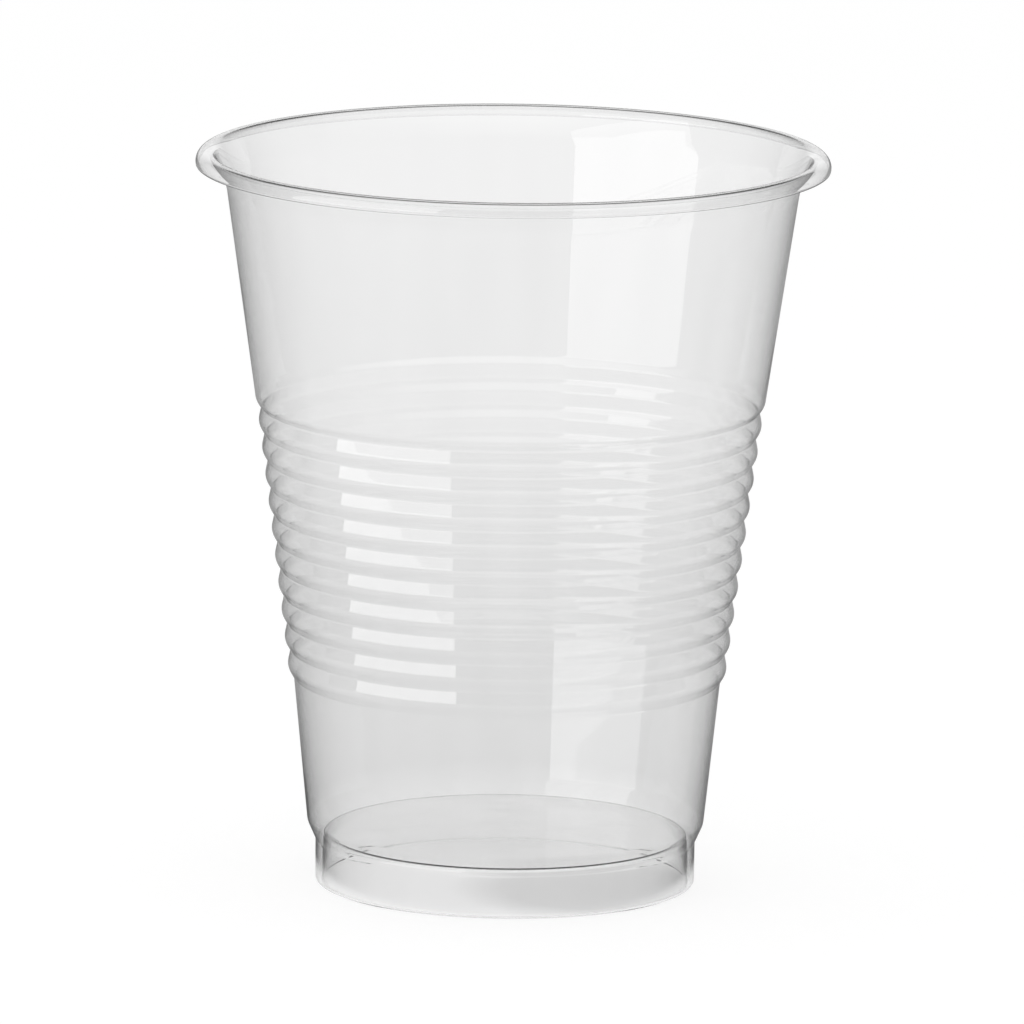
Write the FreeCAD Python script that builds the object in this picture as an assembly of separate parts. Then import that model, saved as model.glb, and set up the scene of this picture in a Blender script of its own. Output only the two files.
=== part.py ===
# Disposable drinking cup, thermoformed as one thin sheet of clear plastic.
#
# Millimetres. The cup stands on z = 0 with its axis on Z, and the origin is the middle of the
# ring that it rests on. The sheet is drawn once, as the line of its outside in the plane of X
# and Z, from the middle of the floor out to the end of the rolled rim. The wall is then laid on
# the inner side of that line with mitred corners, and the section is turned about the axis.

import FreeCAD, Part
import math
import os

# Overall sizes
rim_diameter = 70.0
cup_height = 81.8
wall = 0.2

# Rolled rim: the sheet is curled over outwards by about half a turn
curl_diameter = 2.4
curl_turn = 170.0
neck_drop = 3.7
neck_inset = 3.4
neck_round = 4.0

# Ribbed band: a stack of rings, each one narrower than the ring above. A ring swells from its
# lower valley to a crest and leans in again, more gently, to the valley above it.
rib_count = 10
rib_pitch = 3.04
rib_narrowing = 0.386
rib_crest = 0.68
rib_crest_height = 1.3
ribs_bottom = 22.9
upper_step = 0.64
upper_step_height = 0.8

# Smooth lower wall and the shoulder that a stacked cup stops on
lower_wall_lean = 0.102
shoulder_height = 2.1
shoulder_width = 0.93
shoulder_round = 2.0
shoulder_hollow = 0.7

# Foot: a narrow folded ring that stands on a flat, with the floor raised inside it up to the
# height of the shoulder
foot_diameter = 42.1
foot_height = 4.7
foot_round = 0.4
foot_flat = 0.3
foot_fold_round = 0.25
foot_fold_lean = 0.1
floor_height = 5.3
floor_round = 0.4


def point(radius, height):
    return FreeCAD.Vector(radius, 0, height)


def tangent_length(before, corner, after, bend_radius):
    """How far from a corner an arc of bend_radius meets the two straight runs beside it."""
    turn = (corner - before).getAngle(after - corner)
    return bend_radius * math.tan(turn / 2)


def bend_arc(before, corner, after, bend_radius):
    """The arc that rounds a corner, tangent to the runs on both sides."""
    to_before = (before - corner).normalize()
    to_after = (after - corner).normalize()
    reach = tangent_length(before, corner, after, bend_radius)
    half_angle = to_before.getAngle(to_after) / 2
    to_centre = (to_before + to_after).normalize()
    centre_distance = bend_radius / math.sin(half_angle)
    start = corner + to_before * reach
    middle = corner + to_centre * (centre_distance - bend_radius)
    end = corner + to_after * reach
    return Part.Arc(start, middle, end)


def sheet_line(corners):
    """Edges through corners given as (radius, height, bend radius), with round bends."""
    places = [point(radius, height) for radius, height, bend_radius in corners]
    edges = []
    run_start = places[0]
    for i in range(1, len(corners) - 1):
        bend_radius = corners[i][2]
        run_end = places[i]
        next_start = places[i]
        if bend_radius > 0:
            arc = bend_arc(places[i - 1], places[i], places[i + 1], bend_radius)
            run_end = arc.StartPoint
            next_start = arc.EndPoint
        edges.append(Part.LineSegment(run_start, run_end).toShape())
        if bend_radius > 0:
            edges.append(arc.toShape())
        run_start = next_start
    edges.append(Part.LineSegment(run_start, places[-1]).toShape())
    return edges


def foot_corners():
    """Floor, fold of the foot and foot wall, from the axis outwards."""
    foot_radius = foot_diameter / 2
    flat_outer = foot_radius - foot_round
    flat_inner = flat_outer - foot_flat
    fold_inner = flat_inner - foot_fold_round
    floor_edge = fold_inner - foot_fold_lean
    return [
        (0, floor_height, 0),
        (floor_edge, floor_height, floor_round),
        (fold_inner, 0, foot_fold_round),
        (foot_radius, 0, foot_round),
        (foot_radius, foot_height, shoulder_hollow),
    ]


def body_corners():
    """Shoulder, lower wall and ribbed band, from the foot wall upwards."""
    radius = foot_diameter / 2 + shoulder_width
    height = foot_height + shoulder_height
    corners = [(radius, height, shoulder_round)]
    radius += lower_wall_lean * (ribs_bottom - height)
    height = ribs_bottom
    corners.append((radius, height, 0))
    for rib in range(rib_count):
        corners.append((radius + rib_crest, height + rib_crest_height, 0))
        radius += rib_narrowing
        height += rib_pitch
        corners.append((radius, height, 0))
    corners.append((radius + upper_step, height + upper_step_height, 0))
    return corners


def curl_edges(neck):
    """The neck's last straight run and the curl that it is tangent to.

    Returns the point where they meet and the arc. The arc is the sheet's outside, which ends up
    inside the bead, so its radius is smaller than the bead's by the wall.
    """
    curl_radius = curl_diameter / 2
    centre = point(rim_diameter / 2 - curl_radius, cup_height - curl_radius)
    line_radius = curl_radius - wall
    to_centre = centre - neck
    swing = math.asin(line_radius / to_centre.Length)
    direction = math.atan2(to_centre.z, to_centre.x) + swing
    run = math.sqrt(to_centre.Length ** 2 - line_radius ** 2)
    start = neck + point(math.cos(direction), math.sin(direction)) * run
    start_angle = math.atan2(start.z - centre.z, start.x - centre.x)

    def on_curl(turned):
        angle = start_angle - math.radians(turned)
        return centre + point(math.cos(angle), math.sin(angle)) * line_radius

    return start, Part.Arc(start, on_curl(curl_turn / 2), on_curl(curl_turn))


def make_cup():
    neck_radius = rim_diameter / 2 - neck_inset
    neck_height = cup_height - neck_drop
    curl_start, curl = curl_edges(point(neck_radius, neck_height))
    corners = foot_corners() + body_corners()
    corners.append((neck_radius, neck_height, neck_round))
    corners.append((curl_start.x, curl_start.z, 0))
    outside_line = Part.Wire(sheet_line(corners) + [curl.toShape()])
    section = outside_line.makeOffset2D(wall, join=2, fill=True, openResult=True)
    return section.revolve(FreeCAD.Vector(0, 0, 0), FreeCAD.Vector(0, 0, 1), 360)


os.makedirs("parts", exist_ok=True)
cup = make_cup()
cup.exportStep("parts/cup.step")
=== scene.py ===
import math

import bmesh
import bpy
from mathutils import Matrix, Vector


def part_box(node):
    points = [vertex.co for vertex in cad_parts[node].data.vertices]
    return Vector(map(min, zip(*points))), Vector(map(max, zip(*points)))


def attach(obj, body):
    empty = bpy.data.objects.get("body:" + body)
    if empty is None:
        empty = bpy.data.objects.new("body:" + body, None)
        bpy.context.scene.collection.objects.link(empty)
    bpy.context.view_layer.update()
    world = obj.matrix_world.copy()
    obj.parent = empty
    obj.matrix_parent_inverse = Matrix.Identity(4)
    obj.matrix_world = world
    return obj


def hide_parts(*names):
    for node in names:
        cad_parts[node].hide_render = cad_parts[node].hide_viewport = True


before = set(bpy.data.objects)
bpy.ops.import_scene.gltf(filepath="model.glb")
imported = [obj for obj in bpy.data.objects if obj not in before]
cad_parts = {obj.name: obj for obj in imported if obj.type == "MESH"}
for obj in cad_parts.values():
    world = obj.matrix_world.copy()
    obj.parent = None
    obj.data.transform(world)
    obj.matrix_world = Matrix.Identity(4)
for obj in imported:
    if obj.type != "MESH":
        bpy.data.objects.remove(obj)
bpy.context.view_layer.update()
cup_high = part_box("cup")[1]

# All sizes are in metres. Most repeat the part's own, and the rim and the height come from the
# frame. The rim's wall and the rounds of the rings are the visual model's, and so is the corner of
# a crest, which lies further out because its round takes some of it away. The section is a line of
# (radius, height) points on the sheet's outside.
MM = 0.001
RIM_RADIUS = cup_high.x
CUP_HEIGHT = cup_high.z
WALL = 0.2 * MM
RIM_WALL = 0.34 * MM

CURL_RADIUS = 1.2 * MM
CURL_TURN = math.radians(170)
NECK_DROP = 3.7 * MM
NECK_INSET = 3.4 * MM
NECK_ROUND = 4.0 * MM

RIB_COUNT = 10
RIB_PITCH = 3.04 * MM
RIB_INSET = 0.386 * MM
RIB_CREST = 0.75 * MM
RIB_CREST_HEIGHT = 1.25 * MM
RIB_CREST_ROUND = 1.5 * MM
RIB_VALLEY_ROUND = 0.35 * MM
RIBS_BOTTOM = 22.9 * MM
RIBS_BOTTOM_RADIUS = 23.62 * MM
UPPER_WALL_STEP = 0.64 * MM
UPPER_WALL_STEP_HEIGHT = 0.8 * MM

SHOULDER_TOP = 6.8 * MM
SHOULDER_TOP_RADIUS = 21.98 * MM
SHOULDER_ROUND = 2.0 * MM
SHOULDER_HOLLOW = 0.7 * MM

FOOT_RADIUS = 21.05 * MM
FOOT_HEIGHT = 4.7 * MM
FOOT_ROUND = 0.4 * MM
FOOT_FLAT = 0.3 * MM
FOOT_FOLD_ROUND = 0.25 * MM
FOOT_FOLD_LEAN = 0.1 * MM
FLOOR_HEIGHT = 5.3 * MM
FLOOR_ROUND = 0.4 * MM

TURN_STEPS = 256
ARC_STEP = math.radians(10)
SAME_POINT = 0.001 * MM

# The sheet's tint, from clear to a grey that the random draw lines also reach, and how much of
# that grey is painted on by height as painted shade that darkens the lower wall: none in the foot
# and floor, most just above them
CLEAR_TINT = 1.0
PAINTED_SHADE_AND_STREAK_GREY = 0.91
PAINTED_SHADE_BY_HEIGHT = [
    (0.0, 0.0), (5 * MM, 0.0), (9 * MM, 1.0), (30 * MM, 0.85), (38 * MM, 0.65), (47 * MM, 0.3),
    (58 * MM, 0.2), (82 * MM, 0.0),
]

# Upright draw lines and a slight unevenness, from noise of so many grains to the metre
STREAK_SCALE = 260.0
STREAK_STRETCH = (1, 1, 0.12)
STREAK_STRENGTH = 0.3
WAVE_SCALE = 150.0
WAVE_DEPTH = 0.04 * MM
WAVE_STRENGTH = 0.5

# A rougher sheet is lit by every lamp at each surface, which takes much longer to render
SHEET_ROUGHNESS = 0.003
SHEET_IOR = 1.49
SHADOW_TINT = 0.93

# How bright the background is through the plastic, where directly seen it is 1, and how much of
# it is lost in a second mirroring
SEEN_THROUGH = 0.94
LOST_AGAIN = 0.75

# How bright the table and the backdrop are in a mirror, by distance from the cup's axis. This is
# painted light and shade that only mirrored rays see: the table has a painted bright patch under
# the foot, painted shade beside it and is partly lit further out, and the backdrop fades to its
# sides.
TABLE_GLOW = [
    (0.0, 1.0), (22 * MM, 1.0), (26 * MM, 0.0), (50 * MM, 0.0), (130 * MM, 0.25), (260 * MM, 0.2),
]
BACKDROP_GLOW = [(0.0, 1.0), (4.0, 1.0), (4.3, 0.3), (6.0, 0.3)]
PAPER_GREY = 0.25
BACKGROUND_LIFT = 0.80
STAGE_REACH = 4.0
BACKDROP_PLACE = (0, 3.9, 0.7)
BACKDROP_HEIGHT = 1.4

# The studio around them: its light on matt things, and its dark walls and bright ceiling in a
# mirror, where the ceiling starts at a height on the world's sphere and brightens upwards
STUDIO_LIGHT = 0.8
STUDIO_WALL = 0.08
STUDIO_CEILING = 0.9
CEILING_START = 0.55
CEILING_RISE = 4.0

# A painted soft shadow of the cup on the table inside its foot, away from the lamp
SHADOW_MIDDLE = (10.5 * MM, -4 * MM, 0)
SHADOW_FADE = [(0.0, 0.24), (11 * MM, 0.22), (17 * MM, 0.0)]
SHADOW_EDGE = [(0.0, 1.0), (19.5 * MM, 1.0), (20.5 * MM, 0.0)]

# The lamp at the camera's left, and a strip across its lower part that adds to it. Azimuth 0 is
# the camera's.
LAMP_AZIMUTH = math.radians(-55)
LAMP_WIDTH = 0.462
LAMP_DISTANCE = 0.42
LAMP_BOTTOM = 0.0
LAMP_TOP = 0.44
LAMP_RADIANCE = 1.22
STRIP_DISTANCE = 0.419
STRIP_BOTTOM = 0.035
STRIP_TOP = 0.085
STRIP_RADIANCE = 0.75

# The camera, fitted to the cup's outline in the photograph
IMAGE_SIZE_PX = 1024
SENSOR_WIDTH_MM = 36.0
CAMERA_DISTANCE = 1565.3 * MM
CAMERA_ELEVATION = math.radians(10.75)
CAMERA_ROLL = math.radians(0.72)
PIXELS_PER_METRE = 9043.0
AIM_HEIGHT = 40.0 * MM
AIM_PX = (508.96, 525.41)


class Link:
    """A shader socket that takes part in ordinary sums, which add Math nodes to its tree."""

    def __init__(self, tree, socket):
        self.tree = tree
        self.socket = socket

    def node(self, kind, settings=None, **inputs):
        """Adds any other node. Settings are set first, then inputs by socket name."""
        made = self.tree.nodes.new(kind)
        for name, value in (settings or {}).items():
            setattr(made, name, value)
        for name, value in inputs.items():
            socket = made.inputs[name.replace("_", " ")]
            if isinstance(value, Link):
                self.tree.links.new(value.socket, socket)
            else:
                socket.default_value = value
        return made

    def sum(self, operation, first, second):
        made = self.tree.nodes.new("ShaderNodeMath")
        made.operation = operation
        for socket, value in zip(made.inputs, (first, second)):
            if isinstance(value, Link):
                self.tree.links.new(value.socket, socket)
            else:
                socket.default_value = value
        return Link(self.tree, made.outputs[0])

    def __add__(self, other):
        return self.sum("ADD", self, other)

    def __radd__(self, other):
        return self.sum("ADD", other, self)

    def __sub__(self, other):
        return self.sum("SUBTRACT", self, other)

    def __rsub__(self, other):
        return self.sum("SUBTRACT", other, self)

    def __mul__(self, other):
        return self.sum("MULTIPLY", self, other)

    def __rmul__(self, other):
        return self.sum("MULTIPLY", other, self)


def new_tree(owner):
    owner.use_nodes = True
    owner.node_tree.nodes.clear()
    return Link(owner.node_tree, None)


def out(make, node, name):
    return Link(make.tree, node.outputs[name])


def grey(level):
    return (level, level, level, 1)


def ramp(make, value, stops):
    """A smooth table of (value, level) stops, level between 0 and 1."""
    low = stops[0][0]
    reach = stops[-1][0] - low
    table = make.node("ShaderNodeValToRGB", Fac=(value - low) * (1 / reach))
    for i, (place, level) in enumerate(stops):
        spot = (place - low) / reach
        if i < 2:
            stop = table.color_ramp.elements[i]
            stop.position = spot
        else:
            stop = table.color_ramp.elements.new(spot)
        stop.color = grey(level)
    return out(make, table, "Color")


def bend(before, corner, after, bend_radius):
    """Points of the arc that rounds a corner, tangent to the runs on both sides."""
    to_before = (before - corner).normalized()
    to_after = (after - corner).normalized()
    half_angle = to_before.angle(to_after) / 2
    centre = corner + (to_before + to_after).normalized() * (bend_radius / math.sin(half_angle))
    start = corner + to_before * (bend_radius / math.tan(half_angle)) - centre
    turn = (to_before * -1).angle_signed(to_after)
    steps = max(2, math.ceil(abs(turn) / ARC_STEP))
    return [centre + Matrix.Rotation(-turn * i / steps, 2) @ start for i in range(steps + 1)]


def rounded(corners):
    """A line through (radius, height, bend radius) corners, with its bends rounded."""
    places = [Vector(corner[:2]) for corner in corners]
    line = [places[0]]
    for i in range(1, len(corners) - 1):
        if corners[i][2] > 0:
            line += bend(places[i - 1], places[i], places[i + 1], corners[i][2])
        else:
            line.append(places[i])
    return line + [places[-1]]


def foot_corners():
    """Floor, fold of the foot and foot wall, from the axis outwards."""
    flat_inner = FOOT_RADIUS - FOOT_ROUND - FOOT_FLAT
    fold_inner = flat_inner - FOOT_FOLD_ROUND
    return [
        (0, FLOOR_HEIGHT, 0),
        (fold_inner - FOOT_FOLD_LEAN, FLOOR_HEIGHT, FLOOR_ROUND),
        (fold_inner, 0, FOOT_FOLD_ROUND),
        (FOOT_RADIUS, 0, FOOT_ROUND),
        (FOOT_RADIUS, FOOT_HEIGHT, SHOULDER_HOLLOW),
    ]


def body_corners():
    """Shoulder, lower wall, ribbed band and the step out to the upper wall."""
    corners = [
        (SHOULDER_TOP_RADIUS, SHOULDER_TOP, SHOULDER_ROUND),
        (RIBS_BOTTOM_RADIUS, RIBS_BOTTOM, RIB_VALLEY_ROUND),
    ]
    radius = RIBS_BOTTOM_RADIUS
    height = RIBS_BOTTOM
    for rib in range(RIB_COUNT):
        corners.append((radius + RIB_CREST, height + RIB_CREST_HEIGHT, RIB_CREST_ROUND))
        radius += RIB_INSET
        height += RIB_PITCH
        corners.append((radius, height, RIB_VALLEY_ROUND))
    top_step = (radius + UPPER_WALL_STEP, height + UPPER_WALL_STEP_HEIGHT, RIB_CREST_ROUND)
    corners.append(top_step)
    return corners


def curl_line(neck):
    """The curl, from the point where the neck's last straight run meets it."""
    centre = Vector((RIM_RADIUS - CURL_RADIUS, CUP_HEIGHT - CURL_RADIUS))
    line_radius = CURL_RADIUS - RIM_WALL
    to_centre = centre - neck
    swing = math.asin(line_radius / to_centre.length)
    direction = math.atan2(to_centre.y, to_centre.x) + swing
    run = math.sqrt(to_centre.length ** 2 - line_radius ** 2)
    start = neck + Vector((math.cos(direction), math.sin(direction))) * run
    first_angle = math.atan2(start.y - centre.y, start.x - centre.x)
    steps = math.ceil(CURL_TURN / ARC_STEP)
    line = []
    for i in range(steps + 1):
        angle = first_angle - CURL_TURN * i / steps
        line.append(centre + Vector((math.cos(angle), math.sin(angle))) * line_radius)
    return line


def section_line():
    """The sheet's outside, from the middle of the floor to the end of the curl."""
    neck = Vector((RIM_RADIUS - NECK_INSET, CUP_HEIGHT - NECK_DROP))
    curl = curl_line(neck)
    corners = foot_corners() + body_corners()
    corners += [(neck.x, neck.y, NECK_ROUND), (curl[0].x, curl[0].y, 0)]
    return rounded(corners)[:-1] + curl


def make_cup():
    """The sheet's outside turned about the axis."""
    bm = bmesh.new()
    verts = [bm.verts.new((p.x, 0, p.y)) for p in section_line()]
    edges = [bm.edges.new(pair) for pair in zip(verts, verts[1:])]
    bmesh.ops.spin(
        bm, geom=verts + edges, cent=(0, 0, 0), axis=(0, 0, 1), dvec=(0, 0, 0),
        angle=2 * math.pi, steps=TURN_STEPS, use_merge=True, use_duplicate=False,
    )
    bmesh.ops.remove_doubles(bm, verts=bm.verts, dist=SAME_POINT)
    bmesh.ops.recalc_face_normals(bm, faces=bm.faces)
    mesh = bpy.data.meshes.new("clear_cup")
    bm.to_mesh(mesh)
    bm.free()
    cup = bpy.data.objects.new("clear_cup", mesh)
    bpy.context.scene.collection.objects.link(cup)
    return cup


def thicken(cup):
    """Lays the wall on the inner side of the sheet's outside, thicker towards the curl."""
    rim = cup.vertex_groups.new(name="rim")
    neck_radius = RIM_RADIUS - NECK_INSET
    curl_start = RIM_RADIUS - 2 * CURL_RADIUS
    for vert in cup.data.vertices:
        along = (vert.co.xy.length - neck_radius) / (curl_start - neck_radius)
        if along > 0:
            rim.add([vert.index], min(along, 1.0), "REPLACE")
    wall = cup.modifiers.new("wall", "SOLIDIFY")
    wall.vertex_group = rim.name
    wall.thickness_vertex_group = WALL / RIM_WALL
    wall.thickness = RIM_WALL
    wall.offset = 1
    wall.use_even_offset = True
    wall.use_quality_normals = True
    cup.data.polygons.foreach_set("use_smooth", [True] * len(cup.data.polygons))


def clear_plastic():
    """Colourless thin sheet, with painted shade making it greyer lower on the wall, and fine draw
    lines.
    """
    material = bpy.data.materials.new("clear_plastic")
    make = new_tree(material)
    tree = material.node_tree
    coordinates = make.node("ShaderNodeTexCoord")
    place = out(make, coordinates, "Object")
    split = make.node("ShaderNodeSeparateXYZ", Vector=place)
    # Painted shade: the sheet greys by height, most just above the foot
    painted_shade = ramp(make, out(make, split, "Z"), PAINTED_SHADE_BY_HEIGHT)
    stretched = make.node("ShaderNodeVectorMath", {"operation": "MULTIPLY"}, Vector=place)
    stretched.inputs[1].default_value = STREAK_STRETCH
    streaks = make.node(
        "ShaderNodeTexNoise", Vector=out(make, stretched, "Vector"), Scale=STREAK_SCALE, Detail=0.0
    )
    streak = out(make, streaks, "Fac") - 0.5
    clearness = 1 - painted_shade + streak * STREAK_STRENGTH
    tint = make.node("ShaderNodeMix", {"data_type": "RGBA"})
    tree.links.new(clearness.socket, tint.inputs[0])
    tint.inputs[6].default_value = grey(PAINTED_SHADE_AND_STREAK_GREY)
    tint.inputs[7].default_value = grey(CLEAR_TINT)
    waves = make.node("ShaderNodeTexNoise", Vector=place, Scale=WAVE_SCALE, Detail=0.0)
    ripple = make.node(
        "ShaderNodeBump", Height=out(make, waves, "Fac") + streak * STREAK_STRENGTH,
        Strength=WAVE_STRENGTH, Distance=WAVE_DEPTH,
    )
    sheet = make.node(
        "ShaderNodeBsdfPrincipled", Roughness=SHEET_ROUGHNESS, IOR=SHEET_IOR,
        Transmission_Weight=1.0, Normal=out(make, ripple, "Normal"),
    )
    tree.links.new(tint.outputs[2], sheet.inputs["Base Color"])
    see_through = make.node("ShaderNodeBsdfTransparent", Color=grey(SHADOW_TINT))
    path = make.node("ShaderNodeLightPath")
    mix = make.node("ShaderNodeMixShader", Fac=out(make, path, "Is Shadow Ray"))
    tree.links.new(sheet.outputs[0], mix.inputs[1])
    tree.links.new(see_through.outputs[0], mix.inputs[2])
    output = make.node("ShaderNodeOutputMaterial")
    tree.links.new(mix.outputs[0], output.inputs["Surface"])
    return material


def seen_background(make):
    """How much of the white background a ray shows, and whether it was mirrored once.

    A direct ray shows all of it, and one that came through the plastic nearly all. A ray that was
    mirrored once shows the dimmer studio instead, and one mirrored again a part of the background.
    """
    path = make.node("ShaderNodeLightPath")
    direct = out(make, path, "Is Camera Ray")
    glossy = out(make, path, "Is Glossy Ray")
    through = out(make, path, "Is Transmission Ray")
    seen = direct.sum("MAXIMUM", direct, glossy.sum("MAXIMUM", glossy, through) * SEEN_THROUGH)
    depth = out(make, path, "Glossy Depth")
    mirrored = depth.sum("COMPARE", depth, 1.0)
    again = depth.sum("GREATER_THAN", depth, 1.5)
    return seen * (1 - mirrored - again * LOST_AGAIN), mirrored


# Painted shadow: how far the table's white lift is dimmed inside the foot
def painted_foot_shadow(make, place, reach):
    off_middle = make.node("ShaderNodeVectorMath", {"operation": "DISTANCE"}, Vector=place)
    off_middle.inputs[1].default_value = SHADOW_MIDDLE
    shade = ramp(make, out(make, off_middle, "Value"), SHADOW_FADE)
    return shade * ramp(make, reach, SHADOW_EDGE)


def white_paper(name, mirror_glow, with_painted_shadow=False):
    """Pale grey, lifted to white where it is the picture's background.

    mirror_glow lists how far it is lifted in a mirror, by the distance from the cup's axis.
    Paper with the painted shadow is darker inside the cup's foot, on the side away from the lamp.
    """
    material = bpy.data.materials.new(name)
    make = new_tree(material)
    paper = make.node("ShaderNodeBsdfDiffuse", Color=grey(PAPER_GREY))
    seen, mirrored = seen_background(make)
    coordinates = make.node("ShaderNodeTexCoord")
    place = out(make, coordinates, "Object")
    length = make.node("ShaderNodeVectorMath", {"operation": "LENGTH"}, Vector=place)
    reach = out(make, length, "Value")
    mirror_lift = ramp(make, reach, mirror_glow)
    if with_painted_shadow:
        # Painted shadow: the white lift is dimmed inside the foot
        seen = seen * (1 - painted_foot_shadow(make, place, reach))
    lift = (seen + mirrored * mirror_lift) * BACKGROUND_LIFT
    glow = make.node("ShaderNodeEmission", Color=grey(1), Strength=lift)
    both = make.node("ShaderNodeAddShader")
    output = make.node("ShaderNodeOutputMaterial")
    tree = material.node_tree
    tree.links.new(paper.outputs[0], both.inputs[0])
    tree.links.new(glow.outputs[0], both.inputs[1])
    tree.links.new(both.outputs[0], output.inputs["Surface"])
    return material


def stage_sheet(name, place, material):
    """A flat sheet of the set, placed by a matrix."""
    bm = bmesh.new()
    bmesh.ops.create_grid(bm, x_segments=1, y_segments=1, size=STAGE_REACH)
    bmesh.ops.transform(bm, matrix=place, verts=bm.verts)
    mesh = bpy.data.meshes.new(name)
    bm.to_mesh(mesh)
    bm.free()
    sheet = bpy.data.objects.new(name, mesh)
    bpy.context.scene.collection.objects.link(sheet)
    mesh.materials.append(material)


def make_floor():
    """The table, and a backdrop that stands behind it."""
    stage_sheet("floor", Matrix.Identity(4), white_paper("table_paper", TABLE_GLOW, with_painted_shadow=True))
    low = Matrix.Diagonal((1, BACKDROP_HEIGHT / (2 * STAGE_REACH), 1, 1))
    upright = Matrix.Rotation(math.radians(90), 4, "X") @ low
    place = Matrix.Translation(BACKDROP_PLACE) @ upright
    stage_sheet("backdrop", place, white_paper("backdrop_paper", BACKDROP_GLOW))


def make_world():
    """A plain studio: even light on matt things, white as a background and dark in a mirror."""
    world = bpy.data.worlds.new("studio")
    bpy.context.scene.world = world
    make = new_tree(world)
    path = make.node("ShaderNodeLightPath")
    matt = out(make, path, "Is Diffuse Ray")
    seen, mirrored = seen_background(make)
    coordinates = make.node("ShaderNodeTexCoord")
    split = make.node("ShaderNodeSeparateXYZ", Vector=out(make, coordinates, "Generated"))
    ceiling = (out(make, split, "Z") - CEILING_START) * CEILING_RISE
    ceiling = ceiling.sum("MINIMUM", ceiling.sum("MAXIMUM", ceiling, 0.0), 1.0)
    in_mirror = STUDIO_WALL + ceiling * STUDIO_CEILING
    strength = matt * STUDIO_LIGHT + (1 - matt) * (seen + mirrored * in_mirror)
    background = make.node("ShaderNodeBackground", Color=grey(1), Strength=strength)
    output = make.node("ShaderNodeOutputWorld")
    world.node_tree.links.new(background.outputs[0], output.inputs["Surface"])


def soft_box(name, distance, bottom, top, radiance):
    """An upright lamp that faces the cup."""
    tall = top - bottom
    data = bpy.data.lights.new(name, "AREA")
    data.shape = "RECTANGLE"
    data.size = LAMP_WIDTH
    data.size_y = tall
    data.energy = radiance * math.pi * LAMP_WIDTH * tall
    lamp = bpy.data.objects.new(name, data)
    across = Vector((math.sin(LAMP_AZIMUTH), -math.cos(LAMP_AZIMUTH), 0)) * distance
    lamp.location = across + Vector((0, 0, (bottom + top) / 2))
    lamp.rotation_euler = (-across).to_track_quat("-Z", "Y").to_euler()
    bpy.context.scene.collection.objects.link(lamp)


def make_camera():
    back = Vector((0, -math.cos(CAMERA_ELEVATION), math.sin(CAMERA_ELEVATION)))
    level = Vector((1, 0, 0))
    up = back.cross(level)
    rolled_right = level * math.cos(CAMERA_ROLL) + up * math.sin(CAMERA_ROLL)
    rolled_up = back.cross(rolled_right)
    off_right = (IMAGE_SIZE_PX / 2 - AIM_PX[0]) / PIXELS_PER_METRE
    off_up = (AIM_PX[1] - IMAGE_SIZE_PX / 2) / PIXELS_PER_METRE
    aim = Vector((0, 0, AIM_HEIGHT)) + rolled_right * off_right + rolled_up * off_up
    place = aim + back * CAMERA_DISTANCE
    data = bpy.data.cameras.new("camera")
    data.sensor_width = SENSOR_WIDTH_MM
    data.lens = PIXELS_PER_METRE * CAMERA_DISTANCE * SENSOR_WIDTH_MM / IMAGE_SIZE_PX
    data.clip_start = 0.01
    data.clip_end = 100
    camera = bpy.data.objects.new("camera", data)
    turn = Matrix((rolled_right, rolled_up, back)).transposed()
    camera.matrix_world = Matrix.Translation(place) @ turn.to_4x4()
    bpy.context.scene.collection.objects.link(camera)
    bpy.context.scene.camera = camera


bpy.context.scene.view_settings.view_transform = "Standard"

clear_cup = make_cup()
thicken(clear_cup)
clear_cup.data.materials.append(clear_plastic())
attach(clear_cup, "root")
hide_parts("cup")

make_floor()
make_world()
soft_box("left_soft_box", LAMP_DISTANCE, LAMP_BOTTOM, LAMP_TOP, LAMP_RADIANCE)
soft_box("left_soft_box_strip", STRIP_DISTANCE, STRIP_BOTTOM, STRIP_TOP, STRIP_RADIANCE)
make_camera()
